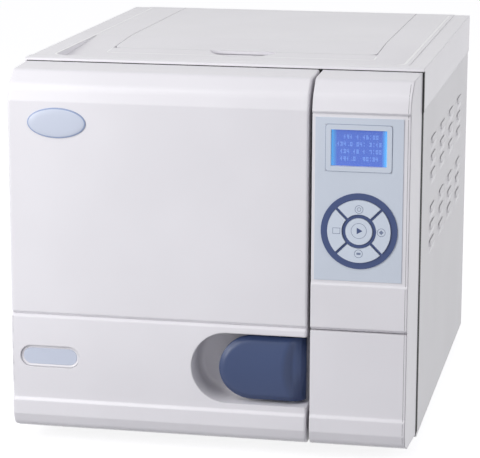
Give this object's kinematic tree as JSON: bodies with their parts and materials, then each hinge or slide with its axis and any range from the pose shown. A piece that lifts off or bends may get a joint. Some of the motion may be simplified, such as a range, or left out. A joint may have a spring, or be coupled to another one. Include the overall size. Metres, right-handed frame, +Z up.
{
  "type": "benchtop steam autoclave",
  "caption": "Benchtop steam steriliser with a side-hinged round-lid door, tray rack, control column and water tank under a top lid.",
  "frame": {"origin": "on the table under the middle of the machine's outline", "axes": "+X to the machine's right as seen from its front, +Y to its back, +Z up"},
  "size_m": [0.4578, 0.597, 0.434],
  "materials": {
    "steel_sheet": "zinc-grey folded sheet",
    "side_enamel": "satin powder coat",
    "rubber_black": "matt moulded rubber",
    "housing_white": "satin moulded plastic",
    "steel_bright": "turned steel",
    "stainless": "brushed stainless steel",
    "tray_aluminium": "anodised",
    "heater_grey": "heat-blued clamp",
    "jacket_white": "woven glass cloth",
    "silicone": "moulded silicone",
    "badge_grey": "bare satin plate",
    "handle_blue": "satin moulded plastic",
    "overlay_blue": "printed film",
    "frame_blue": "satin moulded plastic",
    "lens_clear": "clear",
    "key_pale": "satin moulded plastic",
    "board_green": "solder-masked board",
    "tank_plastic": "moulded",
    "brass": "machined",
    "pump_grey": "painted casting",
    "plastic_black": "moulded"
  },
  "bodies": {
    "cabinet": {"base_pan": "steel_sheet", "foot_front_left": "rubber_black", "foot_front_right": "rubber_black", "foot_rear_left": "rubber_black", "foot_rear_right": "rubber_black", "front_bulkhead": "steel_sheet", "left_side_panel": "side_enamel", "right_side_panel": "side_enamel", "back_panel": "steel_sheet", "top_cover": "housing_white", "lid_pins": "steel_bright", "hinge_bracket_lower": "steel_sheet", "hinge_bracket_upper": "steel_sheet", "latch_keeper": "steel_bright", "chamber_vessel": "stainless", "band_heater": "heater_grey", "insulation_jacket": "jacket_white", "front_saddle": "steel_sheet", "rear_saddle": "steel_sheet", "tray_rack": "stainless", "tray_1": "tray_aluminium", "tray_2": "tray_aluminium", "tray_3": "tray_aluminium", "column_bezel": "housing_white", "service_panel": "housing_white", "control_overlay": "overlay_blue", "window_frame": "frame_blue", "window_lens": "lens_clear", "keypad_frame": "frame_blue", "control_board": "board_green", "water_tank": "tank_plastic", "relief_valve": "brass", "vacuum_pump": "pump_grey", "steam_generator": "stainless", "valve_block": "brass", "power_supply": "steel_sheet", "air_filter": "plastic_black", "condenser": "tray_aluminium", "fan_frame": "plastic_black", "power_inlet": "plastic_black", "drain_fitting": "brass"},
    "door": {"door_cover": "housing_white", "door_inner_cover": "housing_white", "door_frame": "steel_sheet", "hinge_pins": "steel_bright", "pressure_lid": "stainless", "door_gasket": "silicone", "badge_oval": "badge_grey", "badge_plate": "badge_grey"},
    "handle": {"handle_lever": "handle_blue", "handle_shaft": "steel_bright", "latch_hook": "steel_bright"},
    "lid": {"tank_lid": "housing_white"},
    "fan": {"fan_rotor": "plastic_black"},
    "rocker": {"power_rocker": "plastic_black"},
    "start_key": {"key_start": "key_pale"},
    "up_key": {"key_up": "key_pale"},
    "right_key": {"key_right": "key_pale"},
    "down_key": {"key_down": "key_pale"},
    "left_key": {"key_left": "key_pale"}
  },
  "joints": [
    {"name": "door_hinge", "type": "hinge", "parent": "cabinet", "child": "door", "pos_m": [-0.2135, -0.2535, 0.212], "axis": [0, 0, -1], "range_deg": [0, 105]},
    {"name": "handle_turn", "type": "hinge", "parent": "door", "child": "handle", "pos_m": [0.094, -0.2735, 0.103], "axis": [0, 0, 1], "range_deg": [0, 60]},
    {"name": "lid_hinge", "type": "hinge", "parent": "cabinet", "child": "lid", "pos_m": [0, 0.289, 0.427], "axis": [-1, 0, 0], "range_deg": [0, 95]},
    {"name": "fan_spin", "type": "hinge", "parent": "cabinet", "child": "fan", "pos_m": [-0.056, 0.2665, 0.162], "axis": [0, 1, 0], "continuous": true},
    {"name": "rocker_tilt", "type": "hinge", "parent": "cabinet", "child": "rocker", "pos_m": [0.168, 0.279, 0.126], "axis": [1, 0, 0], "range_deg": [-16, 0]},
    {"name": "start_key_press", "type": "slide", "parent": "cabinet", "child": "start_key", "axis": [0, 1, 0], "range_m": [0, 0.0008], "stiffness_N_per_m": 300, "springref_m": -0.0002},
    {"name": "up_key_press", "type": "slide", "parent": "cabinet", "child": "up_key", "axis": [0, 1, 0], "range_m": [0, 0.0008], "stiffness_N_per_m": 300, "springref_m": -0.0002},
    {"name": "right_key_press", "type": "slide", "parent": "cabinet", "child": "right_key", "axis": [0, 1, 0], "range_m": [0, 0.0008], "stiffness_N_per_m": 300, "springref_m": -0.0002},
    {"name": "down_key_press", "type": "slide", "parent": "cabinet", "child": "down_key", "axis": [0, 1, 0], "range_m": [0, 0.0008], "stiffness_N_per_m": 300, "springref_m": -0.0002},
    {"name": "left_key_press", "type": "slide", "parent": "cabinet", "child": "left_key", "axis": [0, 1, 0], "range_m": [0, 0.0008], "stiffness_N_per_m": 300, "springref_m": -0.0002}
  ]
}
